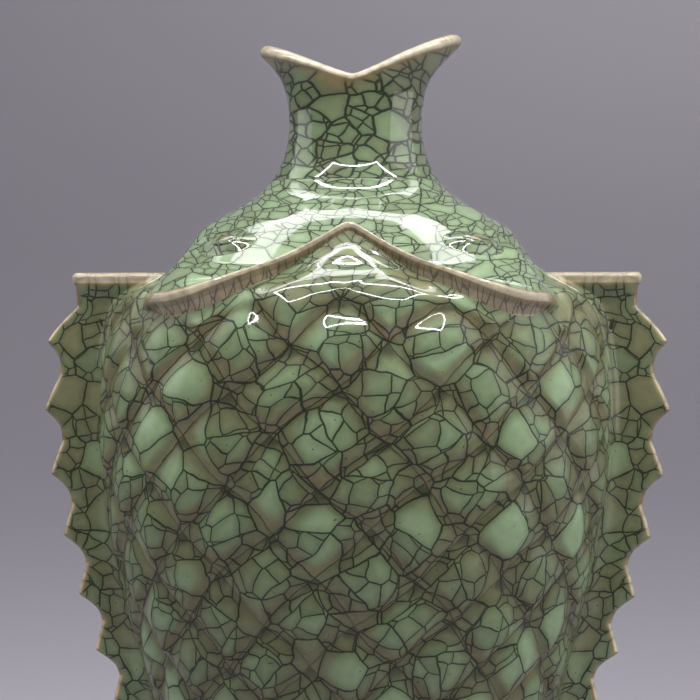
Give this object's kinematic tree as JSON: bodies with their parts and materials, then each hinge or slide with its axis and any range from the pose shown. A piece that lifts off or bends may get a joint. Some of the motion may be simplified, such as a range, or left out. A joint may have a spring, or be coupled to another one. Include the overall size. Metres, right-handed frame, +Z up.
{
  "type": "fish-shaped vase",
  "caption": "Tall celadon crackle-glazed vase shaped as twin fish joined belly to belly, with a two-lobed mouth, scale relief, serrated side fins and a flared tail foot.",
  "frame": {"origin": "centre of the footprint, on the ground under the foot ring", "axes": "+Z up to the mouth, X across the two fish from one dorsal fin to the other, -Y towards the front"},
  "size_m": [0.1564, 0.1008, 0.2781],
  "materials": {
    "mouth_glaze": "glossy crackle glaze",
    "head_glaze": "glossy crackle glaze",
    "scale_glaze": "glossy crackle glaze",
    "tail_glaze": "glossy crackle glaze",
    "fin_glaze": "glossy crackle glaze",
    "eye_lid_glaze": "glossy crackle glaze",
    "pupil_glaze": "glossy crackle glaze",
    "floor_glaze": "glossy crackle glaze",
    "bare_clay": "matt bare fired clay"
  },
  "bodies": {
    "root": {"left_fish_mouth": "mouth_glaze", "right_fish_mouth": "mouth_glaze", "left_fish_head": "head_glaze", "right_fish_head": "head_glaze", "left_fish_scaled_body": "scale_glaze", "right_fish_scaled_body": "scale_glaze", "left_fish_tail": "tail_glaze", "right_fish_tail": "tail_glaze", "left_dorsal_fin": "fin_glaze", "right_dorsal_fin": "fin_glaze", "left_front_eye_lid": "eye_lid_glaze", "right_front_eye_lid": "eye_lid_glaze", "left_front_pupil": "pupil_glaze", "right_front_pupil": "pupil_glaze", "left_back_eye_lid": "eye_lid_glaze", "right_back_eye_lid": "eye_lid_glaze", "left_back_pupil": "pupil_glaze", "right_back_pupil": "pupil_glaze", "vase_floor": "floor_glaze", "foot_ring": "bare_clay"}
  },
  "joints": []
}
